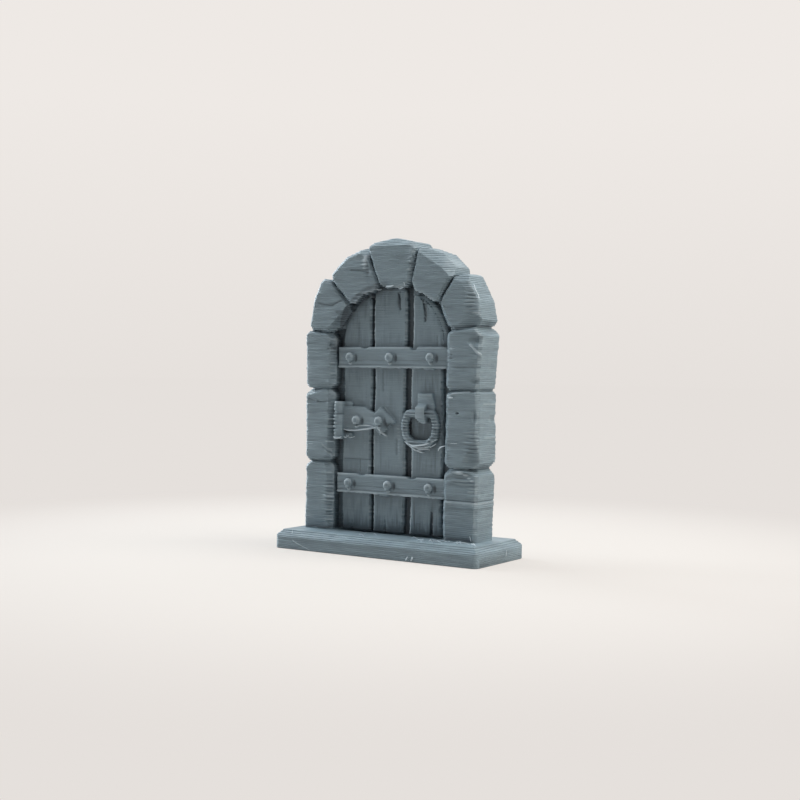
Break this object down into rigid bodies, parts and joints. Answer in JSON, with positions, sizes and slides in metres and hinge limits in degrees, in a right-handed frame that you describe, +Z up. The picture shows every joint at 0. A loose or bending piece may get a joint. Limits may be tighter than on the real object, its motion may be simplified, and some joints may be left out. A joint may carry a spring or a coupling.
{
  "type": "miniature dungeon door",
  "caption": "Arched plank door for tabletop games, printed in one piece: rough stone surround, iron straps, strap hinge and ring pull in relief, on a bevelled base",
  "frame": {"origin": "middle of the base's underside, on the surface the model stands on", "axes": "+X along the door to its ring-pull side, -Y out of the detailed front, +Z up"},
  "size_m": [0.04, 0.0156, 0.0528],
  "materials": {
    "printed_plastic": "fused-filament print in blue-grey PLA, 0.3 mm layers, faint satin sheen"
  },
  "bodies": {
    "root": {"dungeon_door": "printed_plastic"}
  },
  "joints": []
}
